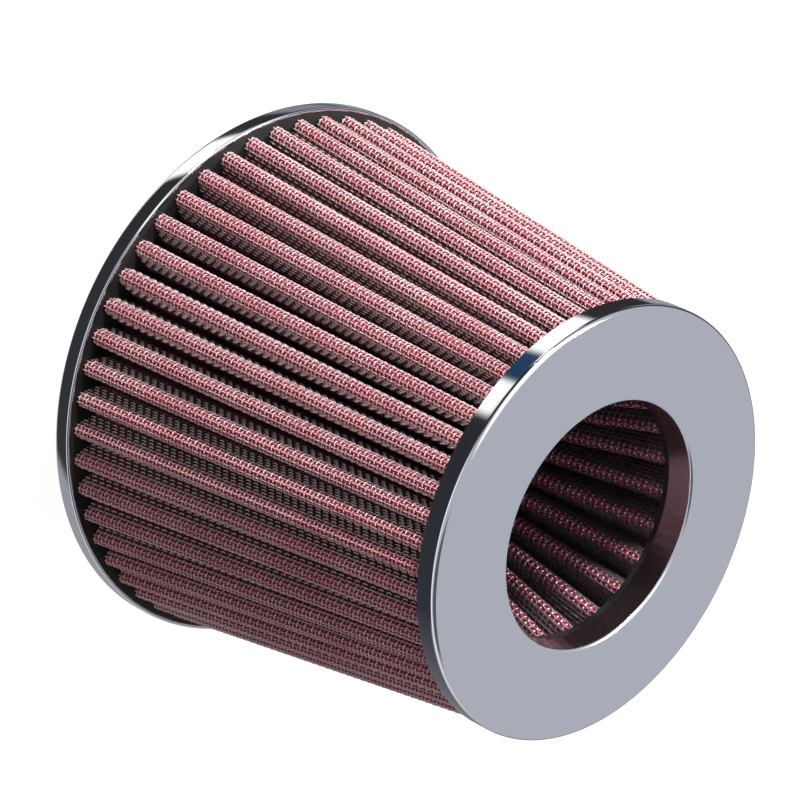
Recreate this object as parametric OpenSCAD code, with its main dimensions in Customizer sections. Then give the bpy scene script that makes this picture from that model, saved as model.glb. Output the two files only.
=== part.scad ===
// Cone air filter with two pleated cones: an outer one and an inverted one inside it.
// It stands on its neck, with the axis on Z, the small end up and the origin under the neck.

/* [Overall] */
// Diameter of the base ring
base_d = 150; // [135:0.5:175]
// Diameter of the end cap
cap_d = 117; // [112:0.5:130]
// Height from the underside of the base ring to the face of the end cap
body_h = 126; // [112:1:160]

/* [Neck] */
// Bore that goes over the intake pipe
neck_bore_d = 76; // [60:0.5:90]
// Wall of the neck
neck_wall = 4; // [2.5:0.1:6]
// Length of the neck below the base ring
neck_h = 22; // [16:0.5:30]
// Height of the bead at the end of the neck
neck_bead_h = 3; // [2:0.1:5]
// How far the bead stands out from the neck
neck_bead_out = 1; // [0.4:0.1:1.4]
// Fillet between the neck and the base
neck_fillet_r = 2.5; // [1:0.1:4]
// Rounding where the bore opens into the filter
mouth_r = 2.5; // [1:0.1:3.5]

/* [Base ring] */
// Height of the band
ring_h = 5.5; // [4:0.1:9]
// Radius of the rolled edge that faces the pleats
rolled_edge_r = 0.65; // [0.5:0.05:0.8]
// Radius of the lower outer corner
ring_corner_r = 1.4; // [1:0.1:2]
// Width of the flange turned in under the base
ring_return_w = 6; // [3:0.5:10]

/* [End cap] */
// Thickness of the pressed steel sheet
sheet_t = 0.7; // [0.5:0.05:0.9]
// Height of the outer skirt
skirt_h = 6; // [5:0.1:8]
// Radius of the outer shoulder
shoulder_r = 1.5; // [1:0.1:2]
// Height of the collar that is turned in round the hole
collar_h = 8; // [6:0.1:8.5]
// Radius of the edge of the hole in the middle
hole_edge_r = 1; // [1:0.1:2]

/* [Outer pleats] */
// Number of pleats of the outer cone
outer_pleats = 52; // [40:1:54]
// Depth of each pleat, from tip to root
outer_depth = 12; // [8:0.5:12.5]
// Room between the pleat tips and the outside of the base ring
base_tip_gap = 2.1; // [1.8:0.1:4]
// Room between the pleat tips and the outside of the cap
cap_tip_gap = 1.2; // [1:0.1:2]

/* [Inner pleats] */
// Number of pleats of the inner cone
inner_pleats = 23; // [16:1:24]
// Depth of each pleat, from crest to outer fold
inner_depth = 9.5; // [6:0.5:10]
// Height of the inner cone between its two seats
inner_h = 52.5; // [35:0.5:60]
// Radius of the crests at the narrow end
inner_end_r = 17.8; // [17:0.1:24]
// Room between the edge of the collar and the crests
crest_gap = 0.8; // [0:0.1:1]
// Room between the two pleated cones, at the cap
cone_gap = 1.7; // [1:0.1:4]

/* [Filter cloth] */
// Thickness of a woven wire screen, two wires that cross
screen_t = 0.7; // [0.4:0.05:0.8]
// Thickness of the cotton gauze
gauze_t = 0.8; // [0.5:0.05:0.9]
// Inside radius of a fold
fold_r = 0.1; // [0.05:0.05:0.2]

/* [Potting] */
// Depth of the outer seat below the face of the cap
cap_seat = 4.5; // [3:0.1:5]
// How far the resin reaches below the collar
collar_cover = 1.6; // [1:0.1:3]
// How far the base lies below the top of its ring
base_recess = 0.2; // [0.1:0.1:1]
// Thickness of the plug of the inner cone
plug_t = 5; // [3:0.5:8]
// How far the plug and the inner seat stand out past the pleats
seat_margin = 0.6; // [0.4:0.1:0.8]
// Rounding of the plug
plug_r = 1.5; // [0.5:0.1:1.5]
// Depth of the dish in the plug, seen through the hole
plug_dish = 1; // [0.5:0.1:2]

/* [Hidden] */
$fn = 96;

// Heights, from the end of the neck
base_z = neck_h;
ring_top_z = base_z + ring_h;
base_seat_z = ring_top_z - base_recess;
cap_z = base_z + body_h;
cap_seat_z = cap_z - cap_seat;
collar_z = cap_z - collar_h;
inner_seat_z = collar_z - collar_cover;
plug_z = inner_seat_z - inner_h;

// Radii
base_r = base_d / 2;
cap_r = cap_d / 2;
bore_r = neck_bore_d / 2;
neck_r = bore_r + neck_wall;
wall_t = 2 * screen_t + gauze_t;
outer_base_tip_r = base_r - base_tip_gap;
outer_cap_tip_r = cap_r - cap_tip_gap;
inner_seat_tip_r = outer_cap_tip_r - outer_depth - cone_gap;
inner_seat_crest_r = inner_seat_tip_r - inner_depth;
hole_r = inner_seat_crest_r - crest_gap;
inner_end_tip_r = inner_end_r + inner_depth;

// Small overlap that joins the outlines of one piece
joint = 0.01;
// Corners of a fold: many where it shows, few where it is hidden
shown_corners = 4;
hidden_corners = 2;

// Pleated wall. Each fold bends round a centre, and each flank is the tangent that the folds on its
// two sides share, so that every surface of the wall is parallel to the others.

// Direction of a vector, in degrees
function heading(v) = atan2(v.y, v.x);

// Corners of a fold round a centre, from one flank's direction to the other's, outside an arc
function fold_corners(centre, radius, from, to, count) =
    let (step = (to - from) / count, reach = radius / cos(step / 2))
    [for (i = [0:count - 1]) centre + reach * [cos(from + (i + 0.5) * step), sin(from + (i + 0.5) * step)]];

// Outline of one surface, at a depth below the outermost one, for the pleat tips and roots given
function pleat_outline(pleats, tip_r, root_r, depth, tip_corners, root_corners) =
    let (
        bend = wall_t + fold_r,
        half = 180 / pleats,
        tip = [tip_r - bend, 0],
        root = (root_r + bend) * [cos(half), sin(half)],
        span = root - tip,
        flank = heading(span) - acos((bend + fold_r) / norm(span)),
        tip_fold = fold_corners(tip, bend - depth, -flank, flank, tip_corners),
        root_fold = fold_corners(root, fold_r + depth, flank + 180, 2 * half - flank + 180, root_corners)
    )
    [for (i = [0:pleats - 1]) each [
        for (p = concat(tip_fold, root_fold))
            let (a = 2 * half * i)
            [p.x * cos(a) - p.y * sin(a), p.x * sin(a) + p.y * cos(a)]
    ]];

// One ring of points of a surface, at a height
function ring_points(outline, z) = [for (p = outline) [p.x, p.y, z]];

// Two triangles for each step of the band between two rings of points
function band(count, from, to) =
    [for (i = [0:count - 1]) let (n = (i + 1) % count) each [
        [from + i, to + i, to + n],
        [from + i, to + n, from + n],
    ]];

// The same triangles, seen from their other side
function turned(triangles) = [for (t = triangles) [t[0], t[2], t[1]]];

// One layer of a pleated cone, between two depths in the wall. The layers meet in a surface that
// both divide into the same triangles.
module pleated_layer(pleats, low, high, low_z, high_z, depths, tip_corners, root_corners) {
    count = pleats * (tip_corners + root_corners);
    outlines = [for (d = depths) for (end = [low, high])
        pleat_outline(pleats, end[0], end[1], d, tip_corners, root_corners)];
    points = concat(
        ring_points(outlines[0], low_z), ring_points(outlines[1], high_z),
        ring_points(outlines[2], low_z), ring_points(outlines[3], high_z));
    faces = concat(
        band(count, 0, count), turned(band(count, 2 * count, 3 * count)),
        band(count, count, 3 * count), band(count, 2 * count, 0));
    polyhedron(points, faces, convexity = 10);
}

// Layer of the outer cone, whose tips show
module outer_layer(depths) {
    pleated_layer(outer_pleats,
        [outer_base_tip_r, outer_base_tip_r - outer_depth],
        [outer_cap_tip_r, outer_cap_tip_r - outer_depth],
        base_seat_z, cap_seat_z, depths, shown_corners, hidden_corners);
}

// Layer of the inner cone, whose crests show from the axis
module inner_layer(depths) {
    pleated_layer(inner_pleats,
        [inner_end_tip_r, inner_end_r],
        [inner_seat_tip_r, inner_seat_crest_r],
        plug_z, inner_seat_z, depths, hidden_corners, shown_corners);
}

// Rectangle in the half plane of a turned profile, from corner to corner
module slab(r0, z0, r1, z1) {
    translate([r0, z0]) square([r1 - r0, z1 - z0]);
}

// What a rounding takes off a corner at [r, z] that points in the directions given by the signs
module corner_cut(r, z, radius, out, up) {
    difference() {
        translate([r, z]) scale([out, up]) translate([-radius, -radius]) square(radius + joint);
        translate([r - out * radius, z - up * radius]) circle(radius);
    }
}

// Channel with two rounded upper corners, open below
module channel(r0, r1, z0, z1, inner_radius, outer_radius) {
    difference() {
        slab(r0, z0, r1, z1);
        corner_cut(r0, z1, inner_radius, -1, 1);
        corner_cut(r1, z1, outer_radius, 1, 1);
    }
}

// Hollow of the pressed cap, down to a height
module cap_hollow(z0) {
    channel(hole_r + sheet_t, cap_r - sheet_t, z0, cap_z - sheet_t,
        hole_edge_r - sheet_t, shoulder_r - sheet_t);
}

// Rolled edge of the base ring
module rolled_edge() {
    translate([base_r - rolled_edge_r, ring_top_z - rolled_edge_r]) circle(rolled_edge_r);
}

module end_cap() {
    color("silver") rotate_extrude() difference() {
        channel(hole_r, cap_r, collar_z, cap_z, hole_edge_r, shoulder_r);
        cap_hollow(collar_z - joint);
        slab(hole_r + sheet_t, collar_z - joint, cap_r + joint, cap_z - skirt_h);
    }
}

module cap_potting() {
    color("dimgray") rotate_extrude() union() {
        cap_hollow(cap_seat_z);
        slab(hole_r + sheet_t, inner_seat_z, inner_seat_tip_r + seat_margin, cap_seat_z + joint);
        slab(hole_r, inner_seat_z, hole_r + sheet_t + joint, collar_z);
    }
}

module outer_screen() {
    color("rosybrown") outer_layer([0, screen_t]);
}

module outer_gauze() {
    color("firebrick") outer_layer([screen_t, screen_t + gauze_t]);
}

module outer_backing() {
    color("lightgray") outer_layer([screen_t + gauze_t, wall_t]);
}

module inner_screen() {
    color("rosybrown") inner_layer([screen_t + gauze_t, wall_t]);
}

module inner_gauze() {
    color("firebrick") inner_layer([screen_t, screen_t + gauze_t]);
}

module inner_backing() {
    color("lightgray") inner_layer([0, screen_t]);
}

module inner_plug() {
    r = inner_end_tip_r + seat_margin;
    color("dimgray") rotate_extrude() difference() {
        slab(0, plug_z - plug_t, r, plug_z);
        corner_cut(r, plug_z - plug_t, plug_r, 1, -1);
        slab(-joint, plug_z - plug_dish, inner_end_r - seat_margin, plug_z + joint);
    }
}

module base_ring() {
    color("silver") rotate_extrude() union() {
        rolled_edge();
        difference() {
            slab(base_r - ring_return_w, base_z, base_r, ring_top_z - rolled_edge_r);
            corner_cut(base_r, base_z, ring_corner_r, 1, -1);
            ring_hollow();
        }
    }
}

// Space inside the band, above the flange that is turned in
module ring_hollow() {
    difference() {
        slab(base_r - ring_return_w - joint, base_z + sheet_t, base_r - sheet_t, ring_top_z);
        corner_cut(base_r - sheet_t, base_z + sheet_t, ring_corner_r - sheet_t, 1, -1);
    }
}

module base_flange() {
    inner_r = base_r - ring_return_w;
    color("dimgray") rotate_extrude() difference() {
        union() {
            difference() {
                slab(inner_r - joint, base_z + sheet_t, base_r - sheet_t, base_seat_z);
                corner_cut(base_r - sheet_t, base_z + sheet_t, ring_corner_r - sheet_t, 1, -1);
            }
            slab(bore_r, base_z, inner_r, base_seat_z);
            slab(bore_r, 0, neck_r, base_z + joint);
            slab(bore_r, 0, neck_r + neck_bead_out, neck_bead_h);
            difference() {
                slab(neck_r - joint, base_z - neck_fillet_r, neck_r + neck_fillet_r, base_z + joint);
                translate([neck_r + neck_fillet_r, base_z - neck_fillet_r]) circle(neck_fillet_r);
            }
        }
        corner_cut(bore_r, base_seat_z, mouth_r, -1, 1);
        rolled_edge();
    }
}

base_flange();
base_ring();
end_cap();
cap_potting();
outer_screen();
outer_gauze();
outer_backing();
inner_screen();
inner_gauze();
inner_backing();
inner_plug();
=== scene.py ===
import math

import bmesh
import bpy
import numpy as np
from mathutils import Euler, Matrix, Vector


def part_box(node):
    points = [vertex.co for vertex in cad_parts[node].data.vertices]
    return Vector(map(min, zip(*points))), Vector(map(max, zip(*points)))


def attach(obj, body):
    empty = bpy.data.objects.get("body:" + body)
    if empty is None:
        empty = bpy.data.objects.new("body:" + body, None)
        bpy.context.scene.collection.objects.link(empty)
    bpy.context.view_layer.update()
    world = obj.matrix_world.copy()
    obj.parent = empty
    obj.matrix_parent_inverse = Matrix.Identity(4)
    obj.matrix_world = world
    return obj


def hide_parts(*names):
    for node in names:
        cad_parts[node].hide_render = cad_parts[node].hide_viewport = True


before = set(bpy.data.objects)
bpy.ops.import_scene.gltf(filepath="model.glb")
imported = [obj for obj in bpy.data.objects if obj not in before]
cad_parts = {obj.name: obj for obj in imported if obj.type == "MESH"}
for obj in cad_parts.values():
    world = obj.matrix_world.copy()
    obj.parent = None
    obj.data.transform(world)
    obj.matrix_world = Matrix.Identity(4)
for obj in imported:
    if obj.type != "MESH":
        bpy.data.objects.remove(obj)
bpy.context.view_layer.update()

mm = 0.001

# Camera that the rims, the hole and the pleats of the photograph give
photoCamera = {
    "location": (0.460887, 0.598795, 0.716325),
    "turn": (-26.6145, -43.3421, -90.9210),
    "lens": 168.82,
    "clip": (0.05, 20),
}


def makeCamera(sizes):
    data = bpy.data.cameras.new("photo_camera")
    data.lens = sizes["lens"]
    data.clip_start, data.clip_end = sizes["clip"]
    camera = bpy.data.objects.new("photo_camera", data)
    camera.location = sizes["location"]
    camera.rotation_euler = Euler([math.radians(a) for a in sizes["turn"]], "XYZ")
    bpy.context.scene.collection.objects.link(camera)
    bpy.context.scene.camera = camera


makeCamera(photoCamera)
print("camera made")

# Helpers for nodes, meshes and turned shapes


def newMaterial(name):
    material = bpy.data.materials.new(name)
    material.use_nodes = True
    tree = material.node_tree
    shader = tree.nodes["Principled BSDF"]
    return material, tree, shader


def addNode(tree, kind, inputs=None, **settings):
    node = tree.nodes.new(kind)
    for key, value in settings.items():
        setattr(node, key, value)
    for key, value in (inputs or {}).items():
        if isinstance(value, bpy.types.NodeSocket):
            tree.links.new(value, node.inputs[key])
        else:
            node.inputs[key].default_value = value
    return node


def mathNode(tree, operation, first, second=0.0):
    return addNode(tree, "ShaderNodeMath", {0: first, 1: second}, operation=operation).outputs[0]


def rampNode(tree, value, stops):
    node = addNode(tree, "ShaderNodeValToRGB", {0: value})
    ramp = node.color_ramp
    while len(ramp.elements) < len(stops):
        ramp.elements.new(1.0)
    for element, (place, colour) in zip(ramp.elements, stops):
        element.position = place
        element.color = (*colour, 1)
    return node.outputs[0]


# From one span of values to another, held at its ends
def rangeNode(tree, value, given, wanted=(0.0, 1.0), **settings):
    inputs = {0: value, 1: given[0], 2: given[1], 3: wanted[0], 4: wanted[1]}
    return addNode(tree, "ShaderNodeMapRange", inputs, **settings).outputs[0]


def noiseNode(tree, vector, scale, detail, roughness):
    inputs = {"Vector": vector, "Scale": scale, "Detail": detail, "Roughness": roughness}
    return addNode(tree, "ShaderNodeTexNoise", inputs).outputs[0]


def bumpNode(tree, height, strength, depth):
    inputs = {"Height": height, "Strength": strength, "Distance": depth * mm}
    return addNode(tree, "ShaderNodeBump", inputs).outputs[0]


def mixColours(tree, factor, first, second):
    node = addNode(tree, "ShaderNodeMix", data_type="RGBA")
    tree.links.new(factor, node.inputs[0])
    for socket, value in ((node.inputs[6], first), (node.inputs[7], second)):
        if isinstance(value, bpy.types.NodeSocket):
            tree.links.new(value, socket)
        else:
            socket.default_value = (*value, 1)
    return node.outputs[2]


def objectPlace(tree):
    return addNode(tree, "ShaderNodeTexCoord").outputs["Object"]


def link(tree, shader, **sockets):
    names = {"colour": "Base Color", "roughness": "Roughness", "normal": "Normal", "metallic": "Metallic"}
    for key, value in sockets.items():
        tree.links.new(value, shader.inputs[names[key]])


def finishMesh(shape, name, material, replaced):
    mesh = bpy.data.meshes.new(name)
    shape.to_mesh(mesh)
    shape.free()
    mesh.materials.append(material)
    return placePiece(mesh, name, replaced)


def placePiece(mesh, name, replaced):
    piece = bpy.data.objects.new(name, mesh)
    bpy.context.scene.collection.objects.link(piece)
    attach(piece, "root")
    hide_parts(replaced)
    print(name, "has", sum(len(p.vertices) - 2 for p in mesh.polygons), "triangles")
    return piece


def arcPoints(r, z, radius, start, stop, steps):
    angles = [math.radians(start + (stop - start) * i / steps) for i in range(steps + 1)]
    return [(r + radius * math.cos(a), z + radius * math.sin(a)) for a in angles]


def turnedShape(profile, steps, sharpAngle=35):
    shape = bmesh.new()
    rim = [shape.verts.new((r * mm, 0, z * mm)) for r, z in profile]
    loop = [shape.edges.new((a, b)) for a, b in zip(rim, rim[1:] + rim[:1])]
    bmesh.ops.spin(shape, geom=rim + loop, cent=(0, 0, 0), axis=(0, 0, 1), angle=math.tau,
                   steps=steps, use_merge=True)
    bmesh.ops.recalc_face_normals(shape, faces=shape.faces[:])
    for face in shape.faces:
        face.smooth = True
    for edge in shape.edges:
        edge.smooth = edge.calc_face_angle(0) < math.radians(sharpAngle)
    return shape


# Pleated cones, with the folds of the solids. Sizes in mm; "low" is the end with the smaller height.
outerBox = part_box("outer_screen")
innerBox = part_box("inner_screen")
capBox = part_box("end_cap")
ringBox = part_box("base_ring")
baseRadius = ringBox[1][0] / mm
capRadius = capBox[1][0] / mm

clothSizes = {"screen": 0.7, "gauze": 0.8, "sunk": 0.03}
clothWall = 2 * clothSizes["screen"] + clothSizes["gauze"]

outerCone = {
    "pleats": 52,
    "depth": 12.0,
    "wall": clothWall,
    "fold": 0.1,
    "lowTip": baseRadius - 2.1,
    "highTip": capRadius - 1.2,
    "lowZ": outerBox[0][2] / mm,
    "highZ": outerBox[1][2] / mm,
}
innerCone = {
    "pleats": 23,
    "depth": 9.5,
    "wall": clothWall,
    "fold": 0.1,
    "lowTip": 27.3,
    "highTip": 43.6,
    "lowZ": innerBox[0][2] / mm,
    "highZ": innerBox[1][2] / mm,
}


def direction(angle):
    return np.array([math.cos(angle), math.sin(angle)])


# Point of the wall at one end, and the way out of it, at a depth below the outermost surface. The
# share runs from -1 in one root through 0 on the tip to 1 in the next root.
def wallPoint(cone, end, depth, share):
    half = math.pi / cone["pleats"]
    bend = cone["wall"] + cone["fold"]
    tip = np.array([cone[end + "Tip"] - bend, 0])
    root = (cone[end + "Tip"] - cone["depth"] + bend) * direction(half)
    span = root - tip
    flank = math.atan2(span[1], span[0]) - math.acos((bend + cone["fold"]) / np.hypot(*span))
    tipReach = bend - depth
    rootReach = cone["fold"] + depth
    start = tip + tipReach * direction(flank)
    stop = root - rootReach * direction(flank)
    tipLength = tipReach * flank
    flankLength = np.hypot(*(stop - start))
    rootLength = rootReach * (flank - half)
    way = abs(share) * (tipLength + flankLength + rootLength)
    if way < tipLength:
        angle = way / tipReach
        point = tip + tipReach * direction(angle)
    elif way < tipLength + flankLength:
        angle = flank
        point = start + (way - tipLength) / flankLength * (stop - start)
    else:
        angle = flank - (way - tipLength - flankLength) / rootReach
        point = root - rootReach * direction(angle)
    side = np.array([1, math.copysign(1, share)])
    return point * side, direction(angle) * side


# All the way round one end, pleat after pleat: an array of points and one of outward directions
def wallRing(cone, end, depth, shares):
    placed = [wallPoint(cone, end, depth, s) for s in shares]
    points = np.array([p for p, _ in placed])
    ways = np.array([w for _, w in placed])
    angles = math.tau / cone["pleats"] * np.arange(cone["pleats"])
    turns = np.array([[np.cos(angles), -np.sin(angles)], [np.sin(angles), np.cos(angles)]])
    return (np.einsum("abp,kb->pka", turns, points), np.einsum("abp,kb->pka", turns, ways))


# Points in metres at a share of the height, with an offset along the outward directions
def betweenEnds(cone, low, high, height, offset):
    flat = low[0] + (high[0] - low[0]) * height
    way = low[1] + (high[1] - low[1]) * height
    way = way / np.linalg.norm(way, axis=-1, keepdims=True)
    flat = flat + way * offset[..., None]
    z = np.full(flat.shape[:-1] + (1,), cone["lowZ"] + (cone["highZ"] - cone["lowZ"]) * height)
    return np.concatenate([flat, z], axis=-1) * mm


# Wire screens, woven from single wires. Sizes in mm. Shares of the half pleat count from the crest
# that shows. As far as "woven" the wires bend over and under each other; past it they are hidden and
# run straight. As far as the first share of the "...Along" and "...Across" spans the crowns carry a
# painted highlight and the dips a painted shade; past the second one the whole wire takes the dark dip
# colour, a painted shade. The cloth and the wires keep their crest colours as far as the first share
# of "bright", and past the second one take the fold colours: darker, a painted shade, and on the outer
# wires' crowns paler, a painted highlight.
outerWeave = {
    "crest": 0.0,
    "wires": 18,
    "rows": 92,
    "wire": 0.23,
    "swing": 0.14,
    "depth": clothSizes["screen"] / 2,
    "woven": 0.64,
    "crownHighlightAlong": (0.6, 0.9),
    "crownHighlightAcross": (0.17, 0.40),
    "bright": (0.16, 0.36),
}
innerWeave = {
    "crest": 1.0,
    "wires": 14,
    "rows": 32,
    "wire": 0.30,
    "swing": 0.14,
    "depth": clothWall - clothSizes["screen"] / 2,
    "woven": 0.72,
    "crownHighlightAlong": (0.0, 0.16),
    "crownHighlightAcross": (0.15, 0.27),
    "bright": (0.08, 0.24),
}


# Angles of a wire's three corners, in the order that turns its faces outwards
wireCorners = (90, 330, 210)


# Mesh of wires along the strands. Their points hold a place, a share that paints the wire light where
# it stands over the others (1) and shaded where it runs under them (-1), and how near to the crest it
# is, from 0 to 1, which paints shade down in the folds.
def wireMesh(name, strands, radius, closed):
    section = bpy.data.curves.new(name + "_section", "CURVE")
    outline = section.splines.new("POLY")
    outline.points.add(len(wireCorners) - 1)
    for point, angle in zip(outline.points, wireCorners):
        across = direction(math.radians(angle)) * radius * mm
        point.co = (across[0], across[1], 0, 1)
    outline.use_cyclic_u = True
    sectionObject = bpy.data.objects.new(name + "_section", section)
    curve = bpy.data.curves.new(name, "CURVE")
    curve.dimensions = "3D"
    curve.bevel_mode = "OBJECT"
    curve.bevel_object = sectionObject
    curve.use_fill_caps = not closed
    for strand in strands:
        spline = curve.splines.new("POLY")
        spline.points.add(len(strand) - 1)
        spline.points.foreach_set("co", np.column_stack([strand[:, :3], np.ones(len(strand))]).ravel())
        spline.use_cyclic_u = closed
    holder = bpy.data.objects.new(name + "_curve", curve)
    bpy.context.scene.collection.objects.link(holder)
    bpy.context.view_layer.update()
    mesh = bpy.data.meshes.new_from_object(holder.evaluated_get(bpy.context.evaluated_depsgraph_get()))
    mesh.name = name
    bpy.data.objects.remove(holder)
    bpy.data.objects.remove(sectionObject)
    for column, label in ((3, "crown"), (4, "crest")):
        found = np.repeat(np.concatenate([strand[:, column] for strand in strands]), len(wireCorners))
        caps = np.zeros(len(mesh.vertices) - len(found))
        values = np.concatenate([caps, found]).astype(np.float32)
        mesh.attributes.new(label, "FLOAT", "POINT").data.foreach_set("value", values)
    return mesh


# Share of each wire along the pleats, its side of the crosswise ones in the first row, and which of
# them are woven
def weaveShares(weave):
    shares = np.array([(2 * k + 1) / weave["wires"] - 1 for k in range(weave["wires"])])
    woven = fromCrest(weave, shares) < weave["woven"]
    return shares, (-1.0) ** np.arange(len(shares)), woven


def fromCrest(weave, shares):
    return np.abs(np.abs(shares) - weave["crest"])


def nearCrest(weave, shares, key):
    full, none = weave[key]
    return np.clip((none - fromCrest(weave, shares)) / (none - full), 0, 1)


def strandPoints(cone, weave, ends, height, side, shares, key):
    side = np.broadcast_to(side, ends[0][0].shape[:2])
    points = betweenEnds(cone, *ends, height, side * weave["swing"])
    # The crown share paints highlight on the wire tops near the crest and shade in the dips and deeper
    # in; the crest share paints shade in the folds
    crown = (side + 1) * nearCrest(weave, shares, key) - 1
    crest = np.broadcast_to(nearCrest(weave, shares, "bright"), side.shape)
    return np.concatenate([points, crown[..., None], crest[..., None]], axis=-1)


def wireEnds(cone, weave, shares):
    return [wallRing(cone, end, weave["depth"], shares) for end in ("low", "high")]


# Wires that run along the pleats: one strand for each wire of each pleat
def lengthwiseStrands(cone, weave, pleats):
    shares, sides, woven = weaveShares(weave)
    ends = wireEnds(cone, weave, shares)
    rows = weave["rows"]
    heights = [0.0] + [(j + 0.5) / rows for j in range(rows)] + [1.0]
    layers = []
    for j, height in enumerate(heights):
        side = sides * woven * (-1.0) ** j * (0 < height < 1)
        layers.append(strandPoints(cone, weave, ends, height, side, shares, "crownHighlightAlong"))
    grid = np.stack(layers, axis=2)
    strands = []
    for p in pleats:
        for k in range(len(shares)):
            strands.append(grid[p, k] if woven[k] else grid[p, k][[0, -1]])
    return strands


# Wires that run round the cone, over and under the others: one closed strand for each row
def crosswiseStrands(cone, weave, rowNumbers):
    shares, sides, woven = weaveShares(weave)
    places = np.append(shares[woven], 1 - weave["crest"])
    order = np.argsort(places)
    places = places[order]
    sides = np.append(sides[woven], 0.0)[order]
    ends = wireEnds(cone, weave, places)
    strands = []
    for j in rowNumbers:
        height = (j + 0.5) / weave["rows"]
        side = sides * (-1.0) ** j
        grid = strandPoints(cone, weave, ends, height, side, places, "crownHighlightAcross")
        strands.append(grid.reshape(-1, 5))
    return strands


# Materials. Noises are given by scale, detail and roughness, and most of their values lie in
# "noiseSpan". Bumps are given by strength and depth in mm.
noiseSpan = (0.3, 0.7)

wireLook = {
    "crown": (0.90, 0.64, 0.64),
    "crownOily": (0.87, 0.51, 0.53),
    "crownLow": (0.95, 0.84, 0.81),
    "dip": (0.43, 0.10, 0.14),
    "dipOily": (0.30, 0.050, 0.085),
    "dipLow": (0.18, 0.055, 0.072),
    "patches": (70, 3, 0.6),
    "patchEdges": (0.38, 0.6),
    "grain": (900, 2, 0.5),
    "grainWear": 0.5,
    "litAndWorn": (-0.3, 0.4),
    "bump": (0.15, 0.02),
    "roughness": (0.28, 0.48),
    "metallic": 0.1,
    "gloss": 0.7,
}
# Copy for the screen inside the hole, with darker, greyer dips and fold colours: painted shade of the
# hole
innerWireLook = {
    **wireLook,
    "crown": (0.94, 0.80, 0.83),
    "crownOily": (0.92, 0.72, 0.77),
    "crownLow": (0.85, 0.76, 0.77),
    "dip": (0.32, 0.06, 0.10),
    "dipOily": (0.24, 0.035, 0.07),
    "dipLow": (0.15, 0.11, 0.12),
}


def attributeNode(tree, name):
    return addNode(tree, "ShaderNodeAttribute", attribute_name=name).outputs["Fac"]


# The crowns, where the wires stand out, are painted light and the dips, where they pass under the
# others, dark: painted highlight and painted shade. Their pink is partly red oil, oilier in random
# patches, and partly a painted reflection of the red cloth. Down in the folds the dips are darker,
# a painted shade, and the crowns of the outer screen paler, a painted highlight.
def wireMaterial(name, look):
    material, tree, shader = newMaterial(name)
    place = objectPlace(tree)
    patches = noiseNode(tree, place, *look["patches"])
    grain = noiseNode(tree, place, *look["grain"])
    # The crest share, 0 down in the folds, blends to the fold colours: painted shade, and on the outer
    # crowns a painted highlight
    crest = attributeNode(tree, "crest")
    wear = mathNode(tree, "MULTIPLY", grain, look["grainWear"])
    litAndWorn = mathNode(tree, "ADD", attributeNode(tree, "crown"), wear)
    oily, dry = look["patchEdges"]
    bright = rampNode(tree, patches, [(oily, look["crownOily"]), (dry, look["crown"])])
    bright = mixColours(tree, crest, look["crownLow"], bright)
    dark = rampNode(tree, patches, [(oily, look["dipOily"]), (dry, look["dip"])])
    dark = mixColours(tree, crest, look["dipLow"], dark)
    link(tree, shader, colour=mixColours(tree, rangeNode(tree, litAndWorn, look["litAndWorn"]), dark, bright),
         roughness=rangeNode(tree, grain, noiseSpan, look["roughness"]),
         normal=bumpNode(tree, grain, *look["bump"]))
    shader.inputs["Metallic"].default_value = look["metallic"]
    shader.inputs["Specular IOR Level"].default_value = look["gloss"]
    return material


gauzeLook = {
    "dark": (0.24, 0.022, 0.050),
    "bright": (0.45, 0.048, 0.095),
    "low": (0.15, 0.044, 0.058),
    "edges": (0.3, 0.68),
    "patches": (90, 3, 0.6),
    "fuzz": (1400, 3, 0.6),
    "thread": 0.45,
    "threadHeight": 0.5,
    "threadShade": 0.12,
    "bump": (0.6, 0.12),
    "roughness": 0.5,
    "sheen": 0.15,
    "sheenRoughness": 0.4,
    "sheenTint": (1.0, 0.6, 0.65),
}
# Copy for the cloth inside the hole, with a darker, greyer fold colour: painted shade of the hole
innerGauzeLook = {
    **gauzeLook,
    "dark": (0.25, 0.026, 0.058),
    "bright": (0.46, 0.050, 0.105),
    "low": (0.15, 0.11, 0.12),
}


def gauzeMaterial(name, look):
    material, tree, shader = newMaterial(name)
    place = objectPlace(tree)
    uv = addNode(tree, "ShaderNodeUVMap", uv_map="cloth").outputs[0]
    parts = addNode(tree, "ShaderNodeSeparateXYZ", {0: uv})
    waves = [
        mathNode(tree, "SINE", mathNode(tree, "MULTIPLY", parts.outputs[i], math.pi / look["thread"]))
        for i in (0, 1)
    ]
    threads = mathNode(tree, "MULTIPLY", waves[0], waves[1])
    fuzz = noiseNode(tree, place, *look["fuzz"])
    patches = noiseNode(tree, place, *look["patches"])
    height = mathNode(tree, "ADD", mathNode(tree, "MULTIPLY", threads, look["threadHeight"]), fuzz)
    mixed = mathNode(tree, "ADD", mathNode(tree, "MULTIPLY", threads, look["threadShade"]), patches)
    colour = rampNode(tree, mixed, list(zip(look["edges"], (look["dark"], look["bright"]))))
    # Down in the folds the cloth fades to the darker "low" colour: painted shade
    colour = mixColours(tree, attributeNode(tree, "crest"), look["low"], colour)
    link(tree, shader, colour=colour, normal=bumpNode(tree, height, *look["bump"]))
    shader.inputs["Roughness"].default_value = look["roughness"]
    shader.inputs["Sheen Weight"].default_value = look["sheen"]
    shader.inputs["Sheen Roughness"].default_value = look["sheenRoughness"]
    shader.inputs["Sheen Tint"].default_value = (*look["sheenTint"], 1)
    return material


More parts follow.
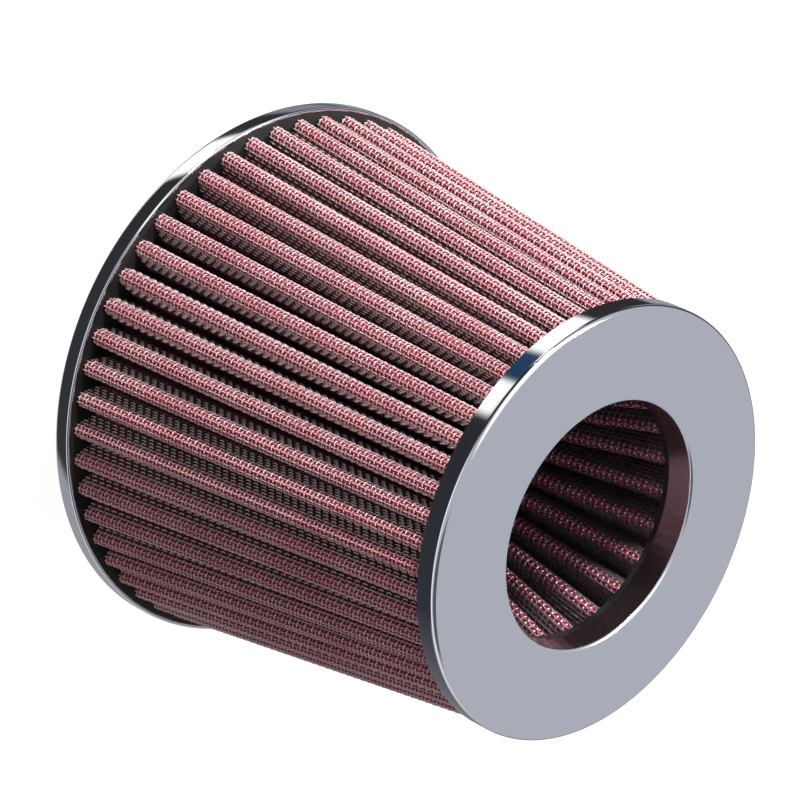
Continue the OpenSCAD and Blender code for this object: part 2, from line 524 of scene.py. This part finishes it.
backingLook = {
    "across": 1.45,
    "along": 1.27,
    "wire": (0.06, 0.18),
    "metal": [(0.35, (0.50, 0.33, 0.35)), (0.65, (0.72, 0.64, 0.65))],
    "cloth": [(0.3, (0.13, 0.006, 0.018)), (0.7, (0.30, 0.018, 0.045))],
    "patches": (90, 3, 0.6),
    "fuzz": (1400, 2, 0.6),
    "fuzzHeight": 0.2,
    "bump": (0.8, 0.25),
    "roughness": (0.6, 0.35),
    "metallic": 0.8,
}


# Screen on the clean side: the wires are drawn in the cloth's own directions, in mm, and fade out
# between the two distances from their middle that "wire" gives
def backingMaterial(look):
    material, tree, shader = newMaterial("backing_wire")
    place = objectPlace(tree)
    uv = addNode(tree, "ShaderNodeUVMap", uv_map="cloth").outputs[0]
    parts = addNode(tree, "ShaderNodeSeparateXYZ", {0: uv})
    lines = []
    for socket, pitch in zip(parts.outputs, (look["across"], look["along"])):
        wave = mathNode(tree, "PINGPONG", socket, pitch / 2)
        lines.append(rangeNode(tree, wave, look["wire"], (1.0, 0.0), interpolation_type="SMOOTHSTEP"))
    wires = mathNode(tree, "MAXIMUM", lines[0], lines[1])
    patches = noiseNode(tree, place, *look["patches"])
    metal = rampNode(tree, patches, look["metal"])
    cloth = rampNode(tree, patches, look["cloth"])
    fuzz = noiseNode(tree, place, *look["fuzz"])
    height = mathNode(tree, "ADD", wires, mathNode(tree, "MULTIPLY", fuzz, look["fuzzHeight"]))
    link(tree, shader, colour=mixColours(tree, wires, cloth, metal),
         roughness=rangeNode(tree, wires, (0.0, 1.0), look["roughness"]),
         metallic=mathNode(tree, "MULTIPLY", wires, look["metallic"]),
         normal=bumpNode(tree, height, *look["bump"]))
    return material


# The collar in the hole, nearer to the axis than "collar", is less polished
chromeLook = {
    "colour": (0.80, 0.80, 0.82),
    "haze": (22, 4, 0.6),
    "hazeEdges": (0.35, 0.65),
    "roughness": (0.05, 0.09),
    "ripple": (60, 2, 0.4),
    "bump": (0.05, 0.05),
    "collar": 34.0,
    "collarRoughness": 0.10,
}


def chromeMaterial(look):
    material, tree, shader = newMaterial("polished_chrome")
    place = objectPlace(tree)
    haze = noiseNode(tree, place, *look["haze"])
    ripple = noiseNode(tree, place, *look["ripple"])
    rough = rangeNode(tree, haze, look["hazeEdges"], look["roughness"])
    flat = addNode(tree, "ShaderNodeVectorMath", {0: place, 1: (1, 1, 0)}, operation="MULTIPLY")
    reach = addNode(tree, "ShaderNodeVectorMath", {0: flat.outputs[0]}, operation="LENGTH")
    collar = mathNode(tree, "LESS_THAN", reach.outputs["Value"], look["collar"] * mm)
    rough = mathNode(tree, "ADD", rough, mathNode(tree, "MULTIPLY", collar, look["collarRoughness"]))
    link(tree, shader, roughness=rough, normal=bumpNode(tree, ripple, *look["bump"]))
    shader.inputs["Base Color"].default_value = (*look["colour"], 1)
    shader.inputs["Metallic"].default_value = 1
    return material


rubberLook = {
    "colour": [(0.35, (0.010, 0.010, 0.011)), (0.75, (0.024, 0.023, 0.024))],
    "patches": (45, 4, 0.6),
    "grain": (1600, 2, 0.5),
    "bump": (0.35, 0.05),
    "roughness": (0.45, 0.62),
    "gloss": 0.4,
}


def rubberMaterial(look):
    material, tree, shader = newMaterial("moulded_rubber")
    place = objectPlace(tree)
    patches = noiseNode(tree, place, *look["patches"])
    grain = noiseNode(tree, place, *look["grain"])
    link(tree, shader, colour=rampNode(tree, patches, look["colour"]),
         roughness=rangeNode(tree, patches, noiseSpan, look["roughness"]),
         normal=bumpNode(tree, grain, *look["bump"]))
    shader.inputs["Specular IOR Level"].default_value = look["gloss"]
    return material


pottingLook = {
    "colour": [(0.35, (0.008, 0.008, 0.009)), (0.7, (0.018, 0.017, 0.018))],
    "flow": (120, 3, 0.5),
    "pits": (500, 2, 0.5),
    "pitHeight": 0.25,
    "bump": (0.5, 0.2),
    "roughness": (0.32, 0.5),
}


def pottingMaterial(look):
    material, tree, shader = newMaterial("cast_resin")
    place = objectPlace(tree)
    flow = noiseNode(tree, place, *look["flow"])
    pits = noiseNode(tree, place, *look["pits"])
    height = mathNode(tree, "ADD", flow, mathNode(tree, "MULTIPLY", pits, look["pitHeight"]))
    link(tree, shader, colour=rampNode(tree, flow, look["colour"]),
         roughness=rangeNode(tree, flow, noiseSpan, look["roughness"]),
         normal=bumpNode(tree, height, *look["bump"]))
    return material


outerWire = wireMaterial("coated_wire", wireLook)
# Shaded copies of the wire and the cloth for inside the hole: painted shade
innerWire = wireMaterial("shaded_coated_wire", innerWireLook)
outerGauze = gauzeMaterial("oiled_gauze", gauzeLook)
innerGauze = gauzeMaterial("shaded_oiled_gauze", innerGauzeLook)
backing = backingMaterial(backingLook)
chrome = chromeMaterial(chromeLook)
rubber = rubberMaterial(rubberLook)
potting = pottingMaterial(pottingLook)
print("materials made")

# Layers of cloth between the screens. The outer surface lies just under the woven wires. Up to the
# share "tipEnd" of half a pleat the cloth has the steps of the tip, and past "rootStart" the root's.
clothSteps = {"tip": 5, "flank": 4, "root": 3, "along": 3, "tipEnd": 0.18, "rootStart": 0.82}


def clothShares(steps):
    edges = (0.0, steps["tipEnd"], steps["rootStart"], 1.0)
    half = []
    for start, stop, part in zip(edges, edges[1:], ("tip", "flank", "root")):
        half += [start + (stop - start) * i / steps[part] for i in range(steps[part])]
    return np.array([-s for s in reversed(half[1:])] + half + [1.0])


def placeRing(verts, ring, number):
    for vert in verts:
        vert.co = ring[vert[number]]


def clothLayer(name, cone, weave, depths, steps, material, replaced):
    shares = clothShares(steps)
    # Crest share per point, 0 down in the folds, where the cloth is painted darker: painted shade
    crests = np.tile(nearCrest(weave, shares, "bright"), cone["pleats"])
    rings = []
    heights = [i / steps["along"] for i in range(steps["along"] + 1)]
    for depth, order in zip(depths, (heights, heights[::-1])):
        low = wallRing(cone, "low", depth, shares)
        high = wallRing(cone, "high", depth, shares)
        for height in order:
            rings.append(betweenEnds(cone, low, high, height, np.zeros(low[0].shape[:2])).reshape(-1, 3))
    around = np.linalg.norm(np.diff(rings[0], axis=0, append=rings[0][:1]), axis=1) / mm
    across = np.concatenate([[0], np.cumsum(around)])
    count = len(rings[0])
    shape = bmesh.new()
    uvLayer = shape.loops.layers.uv.new("cloth")
    number = shape.verts.layers.int.new("number")
    crest = shape.verts.layers.float.new("crest")
    first = bmesh.ops.create_circle(shape, segments=count, radius=1)["verts"]
    for i, vert in enumerate(first):
        vert[number] = i
    edges = shape.edges[:]
    placeRing(first, rings[0], number)
    for ring in rings[1:] + rings[:1]:
        made = bmesh.ops.extrude_edge_only(shape, edges=edges)["geom"]
        verts = [g for g in made if isinstance(g, bmesh.types.BMVert)]
        edges = [g for g in made if isinstance(g, bmesh.types.BMEdge) and g.is_boundary]
        placeRing(verts, ring, number)
    for face in shape.faces:
        face.smooth = True
        numbers = [loop.vert[number] for loop in face.loops]
        wraps = max(numbers) - min(numbers) > 1
        for loop in face.loops:
            at = count if wraps and loop.vert[number] == 0 else loop.vert[number]
            loop[uvLayer].uv = (across[at], loop.vert.co.z / mm)
    for vert in shape.verts:
        vert[crest] = crests[vert[number]]
    bmesh.ops.remove_doubles(shape, verts=shape.verts, dist=1e-6)
    bmesh.ops.recalc_face_normals(shape, faces=shape.faces[:])
    for edge in shape.edges:
        edge.smooth = edge.calc_face_angle(0) < math.radians(60)
    return finishMesh(shape, name, material, replaced)


def addCloth(sizes, steps):
    near = sizes["screen"]
    far = near + sizes["gauze"]
    sunk = sizes["sunk"]
    for side, cone, weave, gauze, gauzeDepths, backingDepths in (
        ("outer", outerCone, outerWeave, outerGauze, (near + sunk, far), (far, clothWall)),
        ("inner", innerCone, innerWeave, innerGauze, (near, far - sunk), (0.0, near)),
    ):
        clothLayer(side + "_gauze_cloth", cone, weave, gauzeDepths, steps, gauze,
                   side + "_gauze")
        clothLayer(side + "_backing_screen", cone, weave, backingDepths, steps, backing,
                   side + "_backing")


addCloth(clothSizes, clothSteps)
print("cloth made")


def addWires(name, strands, weave, closed, material, replaced):
    mesh = wireMesh(name, strands, weave["wire"], closed)
    mesh.materials.clear()
    mesh.materials.append(material)
    placePiece(mesh, name, replaced)


def weaveScreen(side, cone, weave, material, parts):
    for part in range(parts):
        pleats = range(cone["pleats"] * part // parts, cone["pleats"] * (part + 1) // parts)
        rows = range(weave["rows"] * part // parts, weave["rows"] * (part + 1) // parts)
        along = lengthwiseStrands(cone, weave, pleats)
        across = crosswiseStrands(cone, weave, rows)
        replaced = side + "_screen"
        addWires(f"{side}_wires_lengthwise_{part + 1}", along, weave, False, material, replaced)
        addWires(f"{side}_wires_crosswise_{part + 1}", across, weave, True, material, replaced)


weaveScreen("outer", outerCone, outerWeave, outerWire, 3)
weaveScreen("inner", innerCone, innerWeave, innerWire, 1)
print("screens woven")

# End cap, turned from its section. Sizes in mm.
capSizes = {
    "sheet": 0.7,
    "skirt": 6.0,
    "shoulder": 1.5,
    "hole": 33.3,
    "edge": 1.0,
    "edgeSteps": 8,
    "shoulderSteps": 10,
    "insideSteps": 4,
    "steps": 288,
}


def capProfile(sizes, radius, top, bottom):
    sheet = sizes["sheet"]
    shoulder = sizes["shoulder"]
    edge = sizes["edge"]
    hole = sizes["hole"]
    skirt = top - sizes["skirt"]
    within = sizes["insideSteps"]
    outside = (
        [(hole, bottom)]
        + arcPoints(hole + edge, top - edge, edge, 180, 90, sizes["edgeSteps"])
        + arcPoints(radius - shoulder, top - shoulder, shoulder, 90, 0, sizes["shoulderSteps"])
        + [(radius, skirt)]
    )
    inside = (
        [(radius - sheet, skirt)]
        + arcPoints(radius - shoulder, top - shoulder, shoulder - sheet, 0, 90, within)
        + arcPoints(hole + edge, top - edge, edge - sheet, 90, 180, within)
        + [(hole + sheet, bottom)]
    )
    return outside + inside


def addCap(sizes):
    profile = capProfile(sizes, capRadius, capBox[1][2] / mm, capBox[0][2] / mm)
    shape = turnedShape(profile, sizes["steps"])
    finishMesh(shape, "end_cap_chrome", chrome, "end_cap")


addCap(capSizes)

# Base ring, turned from its section. Sizes in mm.
ringSizes = {
    "sheet": 0.7,
    "roll": 0.65,
    "rollTurn": 265,
    "rollSteps": 16,
    "corner": 1.4,
    "cornerSteps": 8,
    "insideSteps": 5,
    "return": 6.0,
    "steps": 320,
}


def ringProfile(sizes, radius, bottom, top):
    sheet = sizes["sheet"]
    corner = sizes["corner"]
    roll = sizes["roll"]
    inner = radius - sizes["return"]
    return (
        [(inner, bottom)]
        + arcPoints(radius - corner, bottom + corner, corner, -90, 0, sizes["cornerSteps"])
        + arcPoints(radius - roll, top - roll, roll, 0, sizes["rollTurn"], sizes["rollSteps"])
        + [(radius - sheet, top - 2 * roll)]
        + arcPoints(radius - corner, bottom + corner, corner - sheet, 0, -90, sizes["insideSteps"])
        + [(inner, bottom + sheet)]
    )


def addRing(sizes):
    profile = ringProfile(sizes, baseRadius, ringBox[0][2] / mm, ringBox[1][2] / mm)
    shape = turnedShape(profile, sizes["steps"])
    finishMesh(shape, "base_ring_chrome", chrome, "base_ring")


addRing(ringSizes)
print("chrome turned")

# Solids that stay as they are, with their materials
for nodeName, material in (("base_flange", rubber), ("cap_potting", potting), ("inner_plug", potting)):
    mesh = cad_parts[nodeName].data
    mesh.materials.clear()
    mesh.materials.append(material)

# Floor, world and lamps
floorSizes = {"half": 4.0, "colour": (0.24, 0.24, 0.24), "roughness": 0.9, "glow": 0.96}


def addFloor(sizes):
    shape = bmesh.new()
    bmesh.ops.create_grid(shape, x_segments=2, y_segments=2, size=sizes["half"])
    mesh = bpy.data.meshes.new("floor")
    shape.to_mesh(mesh)
    shape.free()
    floor = bpy.data.objects.new("floor", mesh)
    bpy.context.scene.collection.objects.link(floor)
    material, tree, shader = newMaterial("floor_paper")
    shader.inputs["Base Color"].default_value = (*sizes["colour"], 1)
    shader.inputs["Roughness"].default_value = sizes["roughness"]
    shader.inputs["Specular IOR Level"].default_value = 0
    rays = addNode(tree, "ShaderNodeLightPath").outputs
    seen = mathNode(tree, "MULTIPLY", rays["Is Camera Ray"], sizes["glow"])
    tree.links.new(seen, shader.inputs["Emission Strength"])
    shader.inputs["Emission Color"].default_value = (1, 1, 1, 1)
    mesh.materials.append(material)
    floor.visible_glossy = False


# What polished metal sees, by direction, with azimuths and elevations in degrees: cards and gaps all
# round below the horizon, a band along it, and a grey ceiling above it with a pale and a dark card.
# A strip of cards round the filter stands between the cap and what the base sees below the horizon.
# Each "Rise" gives the two heights, as the sine of the elevation, between which the next part fades in.
studio = {
    "horizonRise": (-0.26, -0.20),
    "ceilingRise": (0.06, 0.14),
    "ambientRise": (0.25, 0.7),
    "ambient": (0.08, 0.08, 0.085),
    "ambientAbove": (0.17, 0.16, 0.165),
    "below": [
        (0, (0.030, 0.031, 0.035)),
        (130, (0.040, 0.042, 0.050)),
        (138, (0.36, 0.36, 0.40)),
        (262, (0.34, 0.34, 0.38)),
        (270, (0.10, 0.10, 0.12)),
        (280, (0.26, 0.25, 0.32)),
        (296, (0.26, 0.25, 0.32)),
        (302, (0.035, 0.035, 0.04)),
        (325, (0.035, 0.035, 0.04)),
        (330, (1.3, 1.3, 1.3)),
        (354, (1.3, 1.3, 1.3)),
        (358, (0.030, 0.031, 0.035)),
    ],
    "horizon": [
        (0, (0.04, 0.04, 0.045)),
        (36, (0.04, 0.04, 0.045)),
        (60, (1.1, 1.1, 1.15)),
        (150, (1.0, 1.0, 1.05)),
        (200, (0.35, 0.36, 0.40)),
        (260, (0.05, 0.05, 0.055)),
    ],
    "ceiling": (0.495, 0.515, 0.58),
    "pale": {"azimuth": 355, "elevation": 45, "edge": 0.80, "full": 0.87, "colour": (1.25, 1.25, 1.25)},
    "dark": {"azimuth": 128, "elevation": 45, "edge": 0.86, "full": 0.93, "colour": (0.10, 0.10, 0.115)},
}
stripSizes = {
    "radius": 0.110,
    "low": 0.055,
    "high": 0.110,
    "steps": 64,
    "cards": [
        (0, (1.3, 1.3, 1.3)),
        (2, (1.3, 1.3, 1.3)),
        (5, (0.022, 0.060, 0.14)),
        (18, (0.018, 0.050, 0.12)),
        (20.5, (1.3, 1.3, 1.3)),
        (33, (1.3, 1.3, 1.3)),
        (36, (0.026, 0.028, 0.033)),
        (112, (0.035, 0.040, 0.048)),
        (150, (0.13, 0.13, 0.15)),
        (205, (0.30, 0.30, 0.33)),
        (297, (0.34, 0.35, 0.38)),
        (302, (0.030, 0.030, 0.036)),
        (335, (0.030, 0.030, 0.036)),
        (339, (1.3, 1.3, 1.3)),
    ],
}


def azimuthRamp(tree, place, stops):
    parts = addNode(tree, "ShaderNodeSeparateXYZ", {0: place}).outputs
    turn = mathNode(tree, "ARCTAN2", parts[1], parts[0])
    share = mathNode(tree, "FRACT", mathNode(tree, "ADD", mathNode(tree, "DIVIDE", turn, math.tau), 1.0))
    return rampNode(tree, share, [(a / 360, c) for a, c in stops])


def addStrip(sizes):
    shape = bmesh.new()
    rim = [shape.verts.new((sizes["radius"], 0, sizes[end])) for end in ("low", "high")]
    geom = rim + [shape.edges.new(rim)]
    bmesh.ops.spin(shape, geom=geom, cent=(0, 0, 0), axis=(0, 0, 1), angle=math.tau,
                   steps=sizes["steps"], use_merge=True)
    mesh = bpy.data.meshes.new("card_strip")
    shape.to_mesh(mesh)
    shape.free()
    strip = bpy.data.objects.new("card_strip", mesh)
    bpy.context.scene.collection.objects.link(strip)
    material, tree, shader = newMaterial("strip_cards")
    colour = azimuthRamp(tree, objectPlace(tree), sizes["cards"])
    tree.links.new(colour, shader.inputs["Emission Color"])
    shader.inputs["Emission Strength"].default_value = 1
    shader.inputs["Base Color"].default_value = (0, 0, 0, 1)
    shader.inputs["Specular IOR Level"].default_value = 0
    mesh.materials.append(material)
    strip.visible_camera = False
    strip.visible_diffuse = False
    strip.visible_shadow = False


def directionTo(azimuth, elevation):
    a, e = math.radians(azimuth), math.radians(elevation)
    return Vector((math.cos(a) * math.cos(e), math.sin(a) * math.cos(e), math.sin(e)))


def addCard(tree, way, under, card):
    middle = directionTo(card["azimuth"], card["elevation"])
    toCard = addNode(tree, "ShaderNodeVectorMath", {0: way, 1: middle}, operation="DOT_PRODUCT")
    share = rangeNode(tree, toCard.outputs["Value"], (card["edge"], card["full"]))
    return mixColours(tree, share, under, card["colour"])


def addWorld(look):
    world = bpy.data.worlds.new("studio")
    bpy.context.scene.world = world
    world.use_nodes = True
    tree = world.node_tree
    tree.nodes.clear()
    way = addNode(tree, "ShaderNodeTexCoord").outputs["Generated"]
    parts = addNode(tree, "ShaderNodeSeparateXYZ", {0: way}).outputs
    below, horizon = [azimuthRamp(tree, way, look[part]) for part in ("below", "horizon")]
    ceiling = addCard(tree, way, look["ceiling"], look["pale"])
    ceiling = addCard(tree, way, ceiling, look["dark"])
    lower = mixColours(tree, rangeNode(tree, parts[2], look["horizonRise"]), below, horizon)
    seen = mixColours(tree, rangeNode(tree, parts[2], look["ceilingRise"]), lower, ceiling)
    rays = addNode(tree, "ShaderNodeLightPath").outputs
    height = rangeNode(tree, parts[2], look["ambientRise"])
    ambient = mixColours(tree, height, look["ambient"], look["ambientAbove"])
    colour = mixColours(tree, rays["Is Glossy Ray"], ambient, seen)
    colour = mixColours(tree, rays["Is Camera Ray"], colour, (1, 1, 1))
    background = addNode(tree, "ShaderNodeBackground", {"Color": colour, "Strength": 1.0})
    output = addNode(tree, "ShaderNodeOutputWorld")
    tree.links.new(background.outputs[0], output.inputs["Surface"])


# Point that the lamps face, in metres, and the lamps by direction from it
lampCentre = Vector((0, 0, 0.075))
lampSizes = {
    "key": {"azimuth": 355, "elevation": 20, "far": 1.2, "size": 0.25, "watts": 17.0, "gloss": True},
    "top": {"azimuth": 305, "elevation": 50, "far": 1.2, "size": 0.20, "watts": 10.0, "gloss": True},
    "fill": {"azimuth": 70, "elevation": 14, "far": 1.4, "size": 0.30, "watts": 3.0, "gloss": False},
    "back": {"azimuth": 248, "elevation": 12, "far": 1.4, "size": 0.6, "watts": 6.0, "gloss": False},
}


def addLamps(lamps):
    for name, sizes in lamps.items():
        data = bpy.data.lights.new(name, "AREA")
        data.shape = "DISK"
        data.size = sizes["size"]
        data.energy = sizes["watts"]
        lamp = bpy.data.objects.new(name, data)
        lamp.visible_glossy = sizes["gloss"]
        toLamp = directionTo(sizes["azimuth"], sizes["elevation"])
        lamp.location = lampCentre + toLamp * sizes["far"]
        lamp.rotation_euler = toLamp.to_track_quat("Z", "Y").to_euler()
        bpy.context.scene.collection.objects.link(lamp)


addFloor(floorSizes)
addStrip(stripSizes)
addWorld(studio)
addLamps(lampSizes)
bpy.context.scene.view_settings.view_transform = "Standard"
print("studio made")
